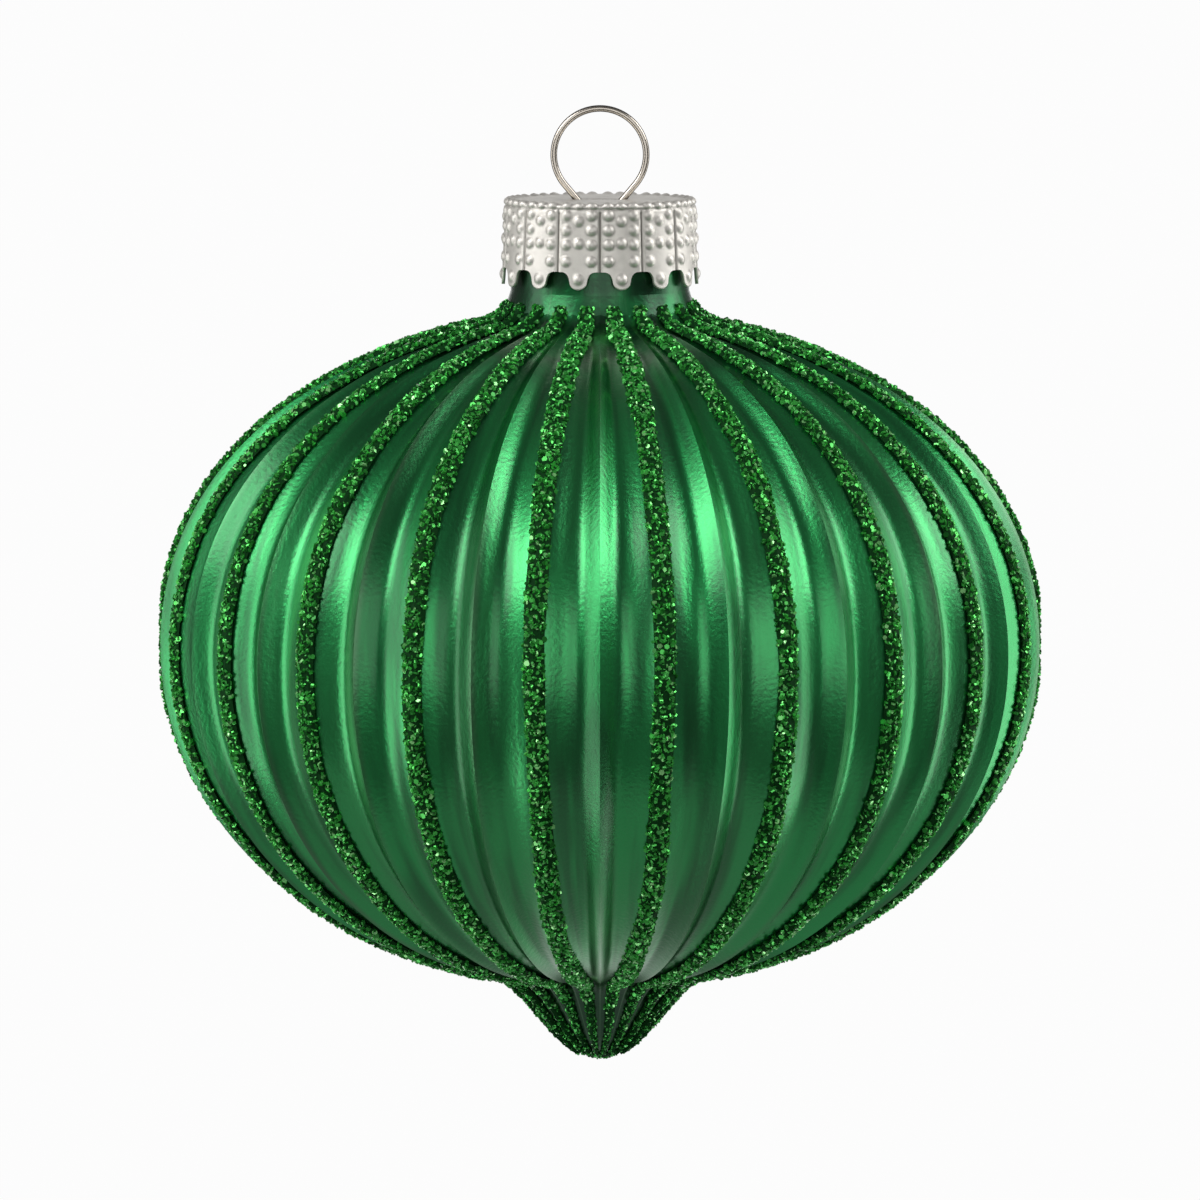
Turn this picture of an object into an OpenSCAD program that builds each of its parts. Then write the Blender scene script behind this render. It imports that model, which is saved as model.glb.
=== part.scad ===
// Hanging glass drop: a ridged blown shell with a glitter bead between each pair of ridges,
// closed by a stamped crown cap that a spring wire loop holds in the neck.
// The origin is the point under the top of the loop where a hook bears. +Z is up.

/* [Glass] */
// Diameter across the floors of the glitter lines at the widest level
glass_d = 78.7; // [64:0.1:95]
// Height of the widest level above the glass tip
widest_h = 37.7; // [30:0.1:42]
// Radius of the shoulder, where the belly turns up into the neck
shoulder_r = 11.5; // [10.5:0.1:15]
// Height of the shoulder above the glass tip
shoulder_h = 66; // [58:0.1:75]
// Radius of the throat, where the belly turns down into the drop
throat_r = 10.3; // [8:0.1:13]
// Height of the throat above the glass tip
throat_h = 7.9; // [5:0.1:9]
// Outer diameter of the neck
neck_d = 16; // [14:0.1:18]
// Height of the neck's lip above the shoulder
neck_len = 11; // [9.5:0.1:14]
// Thickness of the blown wall
glass_wall = 0.6; // [0.5:0.05:1.2]

/* [Ridges] */
// Number of ridges round the shell, and of glitter lines between them
ridge_count = 22; // [16:1:28]
// Height of the ridges above the floors at the widest level
ridge_h = 0.9; // [0.4:0.1:1.4]
// Radius from which the ridges have their full height
ridge_full_r = 34; // [24:0.5:38]
// Share of the pitch that the floor of a glitter line takes
floor_share = 0.45; // [0.35:0.01:0.6]

/* [Glitter] */
// Width of a glitter bead
glitter_w = 2.1; // [1.2:0.1:2.8]
// Height of a glitter bead above its floor
glitter_t = 0.45; // [0.3:0.05:0.8]
// Largest share of the pitch that a bead covers
glitter_share = 0.72; // [0.5:0.01:0.8]
// Radius of the glitter dab on the tip
dab_r = 1.7; // [1.2:0.1:2.4]

/* [Cap] */
// Height of the cap from its top to the hem
cap_h = 6; // [5.5:0.1:7.5]
// Thickness of the cap's sheet
cap_sheet = 0.3; // [0.2:0.05:0.45]
// Radius of the cap's top edge
cap_round = 0.9; // [0.6:0.1:1.4]
// How far the skirt widens from its top to its tongues
cap_flare = 0.35; // [0:0.05:0.8]
// Number of tongues round the hem
tongue_count = 14; // [10:1:18]
// Length of a tongue below the hem
tongue_len = 1.6; // [0.8:0.1:2]
// Width of a tongue
tongue_w = 1.7; // [1:0.05:1.8]

/* [Hanger] */
// Diameter of the spring wire
wire_d = 0.6; // [0.4:0.05:0.8]
// Outer diameter of the loop
loop_d = 8.9; // [7:0.1:11]
// Height of the loop's centre above the cap
loop_rise = 4; // [3:0.1:4.6]
// Angle from upright at which the legs leave the loop
leg_tuck = 34; // [25:1:40]
// Depth below the cap's top at which the legs turn outwards
leg_turn = 1.5; // [1:0.1:2]
// Angle from upright at which the legs spread in the neck
leg_splay = 26; // [18:1:30]
// Length of a spread leg
leg_len = 13; // [8:0.5:16]

/* [Clearances] */
// Room between the cap's skirt and the neck
cap_clear = 0.2; // [0.1:0.05:0.4]
// Room between the cap's top and the lip
lip_clear = 0.15; // [0.1:0.05:0.3]
// Room between the wire and the cap's slot
slot_clear = 0.2; // [0.15:0.05:0.4]
// Thickness of the glue under the glitter
glue_gap = 0.05; // [0.04:0.01:0.1]

/* [Hidden] */
// Pull of the outline's curves at their ends, as shares of their heights and widths
belly_pull_up = 0.545;
belly_pull_down = 0.533;
shoulder_pull = 0.54;
throat_pull = 0.507;
drop_pull = 0.37;
tip_pull = 0.4;
fillet_pull = 0.6;
// Slopes of the outline at the shoulder and the throat
shoulder_slope = 0.22;
throat_slope = 0.15;
// Height of the neck's fillet above the shoulder
fillet_h = 3.4;
// Rings along each stretch of the outline
drop_rings = 5;
belly_rings = 6;
fillet_rings = 3;
round_fn = 32;
cap_fn = 96;
cap_arc_steps = 5;
// Sides of the wire, steps round its loop and its bends, and how far a bend reaches along the wire
wire_sides = 10;
loop_steps = 28;
bend_steps = 4;
bend_reach = 0.8;

glass_r = glass_d / 2;
neck_r = neck_d / 2;
lip_z = shoulder_h + neck_len;
cap_top_z = lip_z + lip_clear + cap_sheet;
hem_z = cap_top_z - cap_h;
cap_r = neck_r + cap_clear + cap_sheet;
hem_r = cap_r + cap_flare;
wire_r = wire_d / 2;
loop_r = loop_d / 2 - wire_r;
loop_z = cap_top_z + loop_rise;
hang_z = loop_z + loop_r - wire_r;
pitch = 360 / ridge_count;

// The glass outline along a glitter line, from the tip's pole up to the lip, as [radius, height]
function bezier(p, t) = pow(1 - t, 3) * p[0] + 3 * pow(1 - t, 2) * t * p[1]
    + 3 * (1 - t) * t * t * p[2] + t * t * t * p[3];
function run(p, n) = [for (i = [1 : n]) bezier(p, i / n)];

widest = [glass_r, widest_h];
shoulder = [shoulder_r, shoulder_h];
throat = [throat_r, throat_h];
neck_root = [neck_r, shoulder_h + fillet_h];
drop_curve = [
    [0, 0],
    [tip_pull * throat_r, 0],
    throat - drop_pull * throat_r * [1, throat_slope],
    throat
];
lower_curve = [
    throat,
    throat + throat_pull * (glass_r - throat_r) * [1, throat_slope],
    widest - [0, belly_pull_down * (widest_h - throat_h)],
    widest
];
upper_curve = [
    widest,
    widest + [0, belly_pull_up * (shoulder_h - widest_h)],
    shoulder + shoulder_pull * (glass_r - shoulder_r) * [1, -shoulder_slope],
    shoulder
];
fillet_curve = [
    shoulder,
    shoulder + fillet_pull * (shoulder_r - neck_r) * [-1, shoulder_slope],
    neck_root - [0, fillet_pull * fillet_h],
    neck_root
];
outline = concat(
    [[0, 0]],
    run(drop_curve, drop_rings),
    run(lower_curve, belly_rings),
    run(upper_curve, belly_rings),
    run(fillet_curve, fillet_rings),
    [[neck_r, lip_z]]
);
lip_ring = len(outline) - 1;
throat_ring = drop_rings;
shoulder_ring = drop_rings + 2 * belly_rings;

// Outward normal of the outline at ring i
function along(i) = outline[min(i + 1, lip_ring)] - outline[max(i - 1, 0)];
function normal(i) = i == 0 ? [0, -1] : [along(i)[1], -along(i)[0]] / norm(along(i));

// Ridge height at ring i: it fades in the drop and towards the hem of the cap
function ridge_fade(z) = max(0, min(1, (hem_z - z) / (hem_z - shoulder_h)));
function ridge(i) = ridge_h * sin(90 * min(1, outline[i][0] / ridge_full_r)) * ridge_fade(outline[i][1]);

// A point at ring i, share s of the way from a glitter line to the next ridge, lifted off the surface
function flank(s) = max(0, (s - floor_share) / (1 - floor_share));
function skin_point(i, s, lift) = outline[i] + (lift + ridge(i) * flank(s)) * normal(i);
function turned(p, a) = [p[0] * cos(a), p[0] * sin(a), p[1]];

// A ridge faces the front, and glitter lines run half a pitch to each side of it
front_angle = -90;
function line_angle(k) = front_angle + (k + 0.5) * pitch;

// Faces between rings of n points, and a closed skin through such rings between two poles
function ring_faces(start, rings, n) = [
    for (i = [0 : rings - 2], j = [0 : n - 1], half = [0, 1])
        let (a = start + i * n + j, d = start + i * n + (j + 1) % n)
            half == 0 ? [a, a + n, d + n] : [a, d + n, d]
];
function first_fan(n) = [for (j = [0 : n - 1]) [0, 1 + j, 1 + (j + 1) % n]];
function last_fan(start, n) = [for (j = [0 : n - 1]) [start + j, start + n, start + (j + 1) % n]];
function skin_faces(rings, n) = concat(
    first_fan(n),
    ring_faces(1, rings, n),
    last_fan(1 + (rings - 1) * n, n)
);

// Rings of the glass: all of the outside, with three points in each pitch (a ridge and both ends of the next
// floor), then every other ring of the plain inside from the lip to the throat, with one point in each pitch,
// set out so that the flat sides between them keep the wall's thickness behind the floors
outer_rings = [for (i = [1 : lip_ring]) i];
inner_rings = concat(
    [lip_ring, lip_ring - 1],
    [for (i = [shoulder_ring : -2 : throat_ring]) i]
);
pitch_turns = [0, (1 - floor_share) / 2, (1 + floor_share) / 2];
pitch_shares = [1, floor_share, floor_share];
outer_points = 3 * ridge_count;
inner_points = ridge_count;

module glass_body() {
    inner_start = 1 + len(outer_rings) * outer_points;
    inner_end = inner_start + len(inner_rings) * inner_points;
    lip_start = inner_start - outer_points;
    points = concat(
        [[0, 0, 0]],
        [
            for (i = outer_rings, k = [0 : ridge_count - 1], part = [0 : 2])
                turned(skin_point(i, pitch_shares[part], 0), front_angle + (k + pitch_turns[part]) * pitch)
        ],
        [
            for (i = inner_rings, k = [0 : ridge_count - 1])
                let (p = skin_point(i, 0, -glass_wall), reach = p[0] / cos(pitch / 2))
                    turned([reach, i == lip_ring ? lip_z : p[1]], front_angle + k * pitch)
        ],
        [[0, 0, throat_h + 2 * glass_wall]]
    );
    faces = concat(
        first_fan(outer_points),
        ring_faces(1, len(outer_rings), outer_points),
        [
            for (k = [0 : ridge_count - 1])
                let (
                    a = lip_start + 3 * k,
                    b = lip_start + (3 * k + 3) % outer_points,
                    c = inner_start + k,
                    d = inner_start + (k + 1) % inner_points
                )
                    each [[a, c, a + 1], [a + 1, c, d], [a + 1, d, a + 2], [a + 2, d, b]]
        ],
        ring_faces(inner_start, len(inner_rings), inner_points),
        last_fan(inner_end - inner_points, inner_points)
    );
    color("forestgreen")
        hung()
            polyhedron(points, faces);
}

// Half the angle that a bead covers at ring i
function bead_half(i) = min(glitter_w / 2 / outline[i][0] * 180 / PI, glitter_share * pitch / 2);

// Beads run from clear of the tip's dab to the foot of the neck
bead_rings = [for (i = [1 : shoulder_ring + 1]) if (outline[i][0] > dab_r + glitter_t) i];

module glitter_line(k) {
    n = len(bead_rings);
    points = [
        for (i = bead_rings)
            let (
                half = bead_half(i),
                edge = skin_point(i, 2 * half / pitch, glue_gap),
                foot = skin_point(i, 0, glue_gap),
                top = skin_point(i, 0, glitter_t)
            )
                each [
                    turned(edge, line_angle(k) - half),
                    turned(top, line_angle(k)),
                    turned(edge, line_angle(k) + half),
                    turned(foot, line_angle(k))
                ]
    ];
    sides = [
        for (i = [0 : n - 2], j = [0 : 3], part = [0, 1])
            let (a = 4 * i + j, d = 4 * i + (j + 1) % 4)
                part == 0 ? [a, a + 4, d + 4] : [a, d + 4, d]
    ];
    last = 4 * (n - 1);
    ends = [[0, 1, 2], [0, 2, 3], [last, last + 2, last + 1], [last, last + 3, last + 2]];
    color("limegreen")
        hung()
            polyhedron(points, concat(sides, ends));
}

// Dab of glitter on the tip: a shallow dish whose inside follows the drop
module glitter_tip() {
    steps = 4;
    function drop_z(r) = lookup(r, [for (p = outline) if (p[1] <= throat_h) p]);
    function bulge(s) = glitter_t * sqrt(1 - s * s);
    color("limegreen")
        hung()
            rotate_extrude($fn = round_fn)
                polygon(concat(
                    [for (i = [0 : steps]) let (r = dab_r * i / steps) [r, drop_z(r) - glue_gap]],
                    [
                        for (i = [steps - 1 : -1 : 0])
                            let (r = dab_r * i / steps)
                                [r, drop_z(r) - bulge(i / steps)]
                    ]
                ));
}

// Half section of the cap's sheet
module cap_section() {
    foot_z = hem_z - tongue_len;
    function corner(radius) = [
        for (i = [0 : cap_arc_steps])
            let (a = 90 * i / cap_arc_steps)
                [cap_r - cap_round + radius * sin(a), cap_top_z - cap_round + radius * cos(a)]
    ];
    inner = corner(cap_round - cap_sheet);
    polygon(concat(
        [[0, cap_top_z]],
        corner(cap_round),
        [[hem_r, foot_z], [hem_r - cap_sheet, foot_z]],
        [for (i = [cap_arc_steps : -1 : 0]) inner[i]],
        [[0, cap_top_z - cap_sheet]]
    ));
}

// Half length and half width of the slot that the two legs pass through
leg_x = loop_r * cos(leg_tuck) - (loop_rise - loop_r * sin(leg_tuck)) * tan(leg_tuck);
slot_half = leg_x + wire_r / cos(leg_tuck) + slot_clear;
slot_w = wire_d + 2 * slot_clear;

module slot() {
    translate([0, 0, cap_top_z - 2 * cap_sheet])
        linear_extrude(3 * cap_sheet) {
            square([2 * slot_half - slot_w, slot_w], center = true);
            for (side = [-1, 1])
                translate([side * (slot_half - slot_w / 2), 0])
                    circle(d = slot_w, $fn = round_fn);
        }
}

// Arched gap between two tongues, cut along a radius
module tongue_gap() {
    gap_r = (2 * PI * hem_r / tongue_count - tongue_w) / 2;
    translate([cap_r - cap_round, 0, hem_z - gap_r])
        rotate([90, 0, 90])
            linear_extrude(cap_round + cap_flare + cap_sheet) {
                circle(r = gap_r, $fn = round_fn);
                translate([-gap_r, -tongue_len - gap_r])
                    square([2 * gap_r, tongue_len + gap_r]);
            }
}

module cap_shell() {
    color("silver")
        hung()
            difference() {
                rotate_extrude($fn = cap_fn) cap_section();
                slot();
                for (i = [0 : tongue_count - 1])
                    rotate(i * 360 / tongue_count - 90) tongue_gap();
            }
}

// The wire's centreline in the XZ plane, as [x, z]: up one leg, over the loop and down the other leg
leg_off = [loop_r * cos(leg_tuck), loop_z - loop_r * sin(leg_tuck)];
leg_bend = [leg_x - leg_turn * tan(leg_tuck), cap_top_z - leg_turn];
leg_end = leg_bend + leg_len * [sin(leg_splay), -cos(leg_splay)];
bend_in = leg_bend + bend_reach * [sin(leg_tuck), cos(leg_tuck)];
bend_out = leg_bend + bend_reach * [sin(leg_splay), -cos(leg_splay)];
function arc_of_bend(t) = (1 - t) * (1 - t) * bend_in + 2 * t * (1 - t) * leg_bend + t * t * bend_out;
leg_path = concat([for (i = [0 : bend_steps]) arc_of_bend(i / bend_steps)], [leg_end]);
loop_path = [
    for (i = [0 : loop_steps])
        let (a = 180 + leg_tuck - (180 + 2 * leg_tuck) * i / loop_steps)
            [loop_r * cos(a), loop_z + loop_r * sin(a)]
];
wire_path = concat(
    [for (i = [len(leg_path) - 1 : -1 : 0]) [-leg_path[i][0], leg_path[i][1]]],
    loop_path,
    leg_path
);

module hanger_wire() {
    last = len(wire_path) - 1;
    function heading(i) = wire_path[min(i + 1, last)] - wire_path[max(i - 1, 0)];
    function across(i) = [heading(i)[1], -heading(i)[0]] / norm(heading(i));
    function place(p, y) = [p[0], y, p[1]];
    points = concat(
        [place(wire_path[0], 0)],
        [
            for (i = [0 : last], j = [0 : wire_sides - 1])
                let (a = 360 * j / wire_sides)
                    place(wire_path[i] + wire_r * cos(a) * across(i), wire_r * sin(a))
        ],
        [place(wire_path[last], 0)]
    );
    color("gainsboro")
        hung()
            polyhedron(points, skin_faces(last + 1, wire_sides));
}

// Heights are counted from the glass tip, and the finished part hangs from the origin
module hung() {
    translate([0, 0, -hang_z]) children();
}

function line_name(k) = str("glitter_line_", k < 9 ? "0" : "", k + 1);

glass_body();
glitter_tip();
cap_shell();
hanger_wire();
for (k = [0 : ridge_count - 1])
    glitter_line(k);
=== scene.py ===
"""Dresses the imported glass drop: ridged satin glass, glitter beads, a stamped crown cap and a wire loop."""
import math

import bpy
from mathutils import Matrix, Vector, geometry, noise


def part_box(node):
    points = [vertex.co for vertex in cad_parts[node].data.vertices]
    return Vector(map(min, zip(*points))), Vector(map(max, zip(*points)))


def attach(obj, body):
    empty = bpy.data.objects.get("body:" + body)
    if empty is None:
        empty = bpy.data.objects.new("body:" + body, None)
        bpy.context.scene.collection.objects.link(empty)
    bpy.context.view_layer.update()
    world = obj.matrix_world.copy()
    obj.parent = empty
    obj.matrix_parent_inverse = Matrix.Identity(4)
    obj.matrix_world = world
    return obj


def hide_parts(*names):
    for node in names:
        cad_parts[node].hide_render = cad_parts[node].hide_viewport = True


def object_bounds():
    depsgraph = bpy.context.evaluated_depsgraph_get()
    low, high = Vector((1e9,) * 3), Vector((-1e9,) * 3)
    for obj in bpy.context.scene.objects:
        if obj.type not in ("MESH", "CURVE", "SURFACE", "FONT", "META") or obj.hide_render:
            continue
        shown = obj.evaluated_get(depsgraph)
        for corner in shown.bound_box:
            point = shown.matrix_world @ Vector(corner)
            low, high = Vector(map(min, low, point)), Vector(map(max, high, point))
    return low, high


bl_info = {
    "name": "Glass Drop Dresser",
    "version": (1, 0, 0),
    "blender": (4, 5, 0),
    "location": "View3D > Sidebar > Glass Drop",
    "description": "Builds the looks of a ridged glass drop round its packed frame",
    "category": "Object",
}

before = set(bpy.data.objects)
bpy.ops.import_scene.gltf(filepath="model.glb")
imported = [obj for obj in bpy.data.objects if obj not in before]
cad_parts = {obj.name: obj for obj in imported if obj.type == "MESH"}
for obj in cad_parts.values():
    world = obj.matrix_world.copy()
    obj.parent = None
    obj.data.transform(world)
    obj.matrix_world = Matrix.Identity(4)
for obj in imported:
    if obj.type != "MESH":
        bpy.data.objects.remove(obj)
CAD_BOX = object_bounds()

MM = 0.001
GLASS_LOW, GLASS_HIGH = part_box("glass_body")
CAP_LOW, CAP_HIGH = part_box("cap_shell")
WIRE_LOW, WIRE_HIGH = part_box("hanger_wire")
DAB_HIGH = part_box("glitter_tip")[1]
TIP_Z = GLASS_LOW.z
LINE_NODES = sorted(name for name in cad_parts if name.startswith("glitter_line_"))
FRONT_ANGLE = -math.pi / 2


def length(name, description, default):
    """A property that holds a length in metres."""
    return bpy.props.FloatProperty(
        name=name, description=description, default=default, unit="LENGTH", subtype="DISTANCE", precision=5
    )


def lean(name, description, degrees):
    """A property that holds an angle."""
    return bpy.props.FloatProperty(
        name=name, description=description, default=math.radians(degrees), subtype="ANGLE"
    )


def colour(name, description, default):
    """A property that holds a linear colour."""
    return bpy.props.FloatVectorProperty(
        name=name, description=description, default=default, subtype="COLOR", size=3, min=0.0, max=1.0
    )


def number(name, description, default):
    """A property that holds a plain number."""
    return bpy.props.FloatProperty(name=name, description=description, default=default)


def count(name, description, default):
    """A property that holds a whole number."""
    return bpy.props.IntProperty(name=name, description=description, default=default, min=1)


class GlassSettings(bpy.types.PropertyGroup):
    """Outline, ridges and lacquer of the glass."""

    radius: length("Radius", "Radius of the glitter lines' floors at the widest level", 39.35 * MM)
    widest: length("Widest Level", "Height of the widest level above the tip", 37.7 * MM)
    shoulder_radius: length("Shoulder Radius", "Radius where the belly meets the neck", 11.5 * MM)
    shoulder: length("Shoulder Level", "Height of the shoulder above the tip", 66.0 * MM)
    throat_radius: length("Throat Radius", "Radius where the belly meets the drop", 10.3 * MM)
    throat: length("Throat Level", "Height of the throat above the tip", 7.9 * MM)
    neck_radius: length("Neck Radius", "Outer radius of the neck", 8.0 * MM)
    fillet: length("Neck Fillet", "Height of the fillet from shoulder to neck", 3.4 * MM)
    lip: length("Lip Level", "Height of the lip above the tip", GLASS_HIGH.z - GLASS_LOW.z)
    wall: length("Wall", "Thickness of the blown wall", 0.6 * MM)
    ridge: length("Ridge Height", "Height of the ridges above the floors at the widest level", 0.45 * MM)
    ridge_full: length("Full Ridge Radius", "Radius from which the ridges are at full height", 34.0 * MM)
    dip: length("Dip Depth", "Depth of the dip at the foot of a ridge", 0.8 * MM)
    dip_share: number("Dip Share", "Where the dip lies between a glitter line and the next ridge", 0.62)
    sharpness: number("Ridge Sharpness", "How sharp the ridges are, from 0 for round to 1", 0.5)
    pitch_points: count("Pitch Points", "Mesh columns from one ridge to the next", 26)
    rings: count("Rings", "Mesh rings from the tip to the lip", 130)
    inner_rings: count("Inner Rings", "Mesh rings from the lip to the inner floor", 20)
    lacquer: colour("Lacquer", "Satin green of the lacquer", (0.024, 0.430, 0.110))
    # Deep green of the streaks, also laid on the neck and the drop as painted shade.
    deep_lacquer_and_shade: colour("Deep Lacquer And Shade", "Green in the thicker streaks", (0.002, 0.070, 0.021))
    lacquer_worn: colour("Worn Lacquer", "Grey green where the lacquer is thin", (0.110, 0.260, 0.130))


class GlitterSettings(bpy.types.PropertyGroup):
    """Beads of glue and flakes between the ridges."""

    width: length("Bead Width", "Width of the glue of a glitter bead", 1.9 * MM)
    height: length("Bead Height", "Height of the flakes above the floor", 0.8 * MM)
    dab: length("Dab Thickness", "Thickness of the dab on the tip", 0.45 * MM)
    share: number("Drop Share", "Largest share of the pitch that a bead covers on the drop", 0.50)
    neck_share: number("Neck Share", "Largest share of the pitch that a bead covers at the neck", 0.54)
    flake: length("Flake Size", "Width of a flake", 0.46 * MM)
    flake_thickness: length("Flake Thickness", "Thickness of a flake", 0.13 * MM)
    density: number("Flake Density", "Flakes for each square millimetre of bead", 9.0)
    tilt: lean("Flake Tilt", "Largest lean of a flake", 75)
    flake_dark: colour("Dark Flake", "Colour of the darkest flakes", (0.014, 0.170, 0.022))
    flake_mid: colour("Green Flake", "Colour of most flakes", (0.080, 0.600, 0.095))
    flake_light: colour("Light Flake", "Colour of the brightest flakes", (0.420, 1.000, 0.380))
    glue: colour("Glue", "Dark green of the glue between the flakes", (0.003, 0.050, 0.008))


class CapSettings(bpy.types.PropertyGroup):
    """Stamped crown cap."""

    top: length("Cap Top", "Level of the cap's top", CAP_HIGH.z)
    foot: length("Tongue Foot", "Level of the tongues' ends", CAP_LOW.z)
    foot_radius: length("Foot Radius", "Outer radius at the tongues' ends", CAP_HIGH.x)
    flare: length("Flare", "How far the skirt widens downwards", 0.35 * MM)
    edge: length("Top Edge", "Radius of the rounded top edge", 0.35 * MM)
    sheet: length("Sheet", "Thickness of the stamped sheet", 0.3 * MM)
    tongue: length("Tongue Length", "Length of a tongue below the hem", 1.6 * MM)
    tongues: count("Tongues", "Number of panels and tongues", 14)
    slot_half: length("Slot Half Length", "Half the length of the slot in the top", 2.65 * MM)
    slot_width: length("Slot Width", "Width of the slot in the top", 1.0 * MM)
    bump_radius: length("Bump Radius", "Radius of a stamped bump", 0.50 * MM)
    bump_height: length("Bump Height", "Height of a stamped bump", 0.23 * MM)
    seam_depth: length("Seam Depth", "Depth of the crease between two panels", 0.16 * MM)
    metal: colour("Cap Metal", "Colour of the bright sheet", (1.000, 0.965, 0.900))
    # The stain colour, also laid in the seams, the border line and the rings round the bumps as painted
    # shade.
    stain_and_crease_shade: colour("Cap Stain And Crease Shade", "Colour in the creases", (0.120, 0.108, 0.092))


class HangerSettings(bpy.types.PropertyGroup):
    """Spring wire loop."""

    wire: length("Wire", "Diameter of the wire", WIRE_HIGH.z)
    loop: length("Loop", "Outer diameter of the loop", 8.9 * MM)
    tuck: lean("Leg Tuck", "Angle at which the legs leave the loop", 40)
    turn: length("Leg Turn", "Depth below the cap's top at which the legs turn outwards", 1.5 * MM)
    bend: length("Bend Reach", "How far a bend reaches along the wire", 0.8 * MM)
    metal: colour("Wire Metal", "Colour of the drawn wire", (0.700, 0.640, 0.560))
    stain: colour("Wire Stain", "Warm tint of the wire", (0.600, 0.540, 0.460))
    # Painted shade on the sides of the loop that face away from the front and the back.
    side_shade: colour("Painted Side Shade", "Dark tint along the inner and outer side of the loop", (0.070, 0.060, 0.048))


class StageSettings(bpy.types.PropertyGroup):
    """Camera, lights and floor."""

    distance: length("Camera Distance", "From the camera to the axis of the drop", 1.0)
    elevation: lean("Camera Elevation", "Angle above the horizon", 5.5)
    frame_width: length("Frame Width", "Width of the picture at the axis", 108.1 * MM)
    aim: length("Aim Level", "Level on the axis at the middle of the picture", -44.0 * MM)
    floor_drop: length("Floor Drop", "From the tip down to the floor", 600.0 * MM)
    floor: colour("Backdrop", "Pale paper behind the object", (0.90, 0.90, 0.90))
    front: colour("Front Paper", "Grey paper in front of the object", (0.32, 0.32, 0.32))


def settings(part):
    """The stored settings of one part of the drop."""
    return getattr(bpy.context.scene, "drop_" + part)


class Nodes:
    """Builds a node tree: nodes with values or links on their inputs."""

    def __init__(self, tree):
        self.tree = tree

    def feed(self, socket, value):
        if isinstance(value, bpy.types.NodeSocket):
            self.tree.links.new(value, socket)
        else:
            socket.default_value = value

    def add(self, kind, inputs=None, **options):
        node = self.tree.nodes.new(kind)
        for name, value in options.items():
            setattr(node, name, value)
        for key, value in (inputs or {}).items():
            self.feed(node.inputs[key], value)
        return node

    def math(self, operation, *values):
        return self.add("ShaderNodeMath", dict(enumerate(values)), operation=operation).outputs[0]

    def scaled(self, value, share):
        return self.add("ShaderNodeVectorMath", {0: value, "Scale": share}, operation="SCALE").outputs[0]

    def split(self, value):
        node = self.add("ShaderNodeSeparateXYZ", {0: value})
        return node.outputs[0], node.outputs[1], node.outputs[2]

    def join(self, x, y, z):
        return self.add("ShaderNodeCombineXYZ", {0: x, 1: y, 2: z}).outputs[0]

    def off_axis(self, x, y):
        """Distance from the axis of the drop."""
        return self.math("SQRT", self.math("ADD", self.math("MULTIPLY", x, x), self.math("MULTIPLY", y, y)))

    def remap(self, value, from_low, from_high, to_low, to_high, smooth=False):
        limits = {"From Min": from_low, "From Max": from_high, "To Min": to_low, "To Max": to_high}
        node = self.add(
            "ShaderNodeMapRange",
            {"Value": value, **limits},
            interpolation_type="SMOOTHSTEP" if smooth else "LINEAR",
        )
        return node.outputs["Result"]

    def blend(self, share, low, high):
        """A colour between two others."""
        node = self.add("ShaderNodeMix", {0: share, 6: low, 7: high}, data_type="RGBA")
        return node.outputs[2]

    def noise(self, position, scale, detail=2.0):
        values = {"Vector": position, "Scale": scale, "Detail": detail}
        return self.add("ShaderNodeTexNoise", values).outputs["Fac"]


class Tree(Nodes):
    """A node group with named inputs and outputs, listed by the type of their sockets."""

    def __init__(self, name, kind, inputs, outputs):
        super().__init__(bpy.data.node_groups.new(name, kind))
        for in_out, sockets in (("INPUT", inputs), ("OUTPUT", outputs)):
            for socket_type, names in sockets.items():
                for socket in names:
                    self.tree.interface.new_socket(
                        socket, in_out=in_out, socket_type="NodeSocket" + socket_type
                    )
        self.given = self.tree.nodes.new("NodeGroupInput").outputs
        self.made = self.tree.nodes.new("NodeGroupOutput").inputs

    def step(self, kind, shape, values=None, **options):
        """The geometry after one node."""
        return self.add(kind, {"Geometry": shape, **(values or {})}, **options).outputs[0]

    def store(self, shape, name, value, **options):
        """The geometry with a stored attribute."""
        return self.step("GeometryNodeStoreNamedAttribute", shape, {"Name": name, "Value": value}, **options)

    def stored(self, name, **options):
        """The value of a stored attribute."""
        return self.add("GeometryNodeInputNamedAttribute", {"Name": name}, **options).outputs[0]

    def put_out(self, shape, surface, selection=True):
        """Ends the tree: realizes instances and sets the material."""
        shape = self.step("GeometryNodeRealizeInstances", shape)
        values = {"Selection": selection, "Material": surface}
        self.feed(self.made["Geometry"], self.step("GeometryNodeSetMaterial", shape, values))


def placed(name, data):
    """A new object at the origin, linked into the scene."""
    piece = bpy.data.objects.new(name, data)
    bpy.context.scene.collection.objects.link(piece)
    return piece


def mesh_of(name, points, faces):
    """A mesh from points and faces."""
    mesh = bpy.data.meshes.new(name)
    mesh.from_pydata([tuple(p) for p in points], [], faces)
    mesh.update()
    return mesh


def marked(mesh, name, kind, domain, values):
    """The mesh with a value stored on each of its faces or points."""
    mark = mesh.attributes.new(name, kind, domain)
    mark.data.foreach_set("value", values)
    return mesh


def grown(name, tree, values, mesh=None):
    """An object whose plain mesh is what a geometry tree makes of the given mesh."""
    piece = placed(name, mesh or bpy.data.meshes.new(name))
    modifier = piece.modifiers.new("Build", "NODES")
    modifier.node_group = tree.tree
    for item in tree.tree.interface.items_tree:
        if item.in_out == "INPUT" and item.name in values:
            modifier[item.identifier] = values[item.name]
    settle(piece)
    return piece


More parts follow.
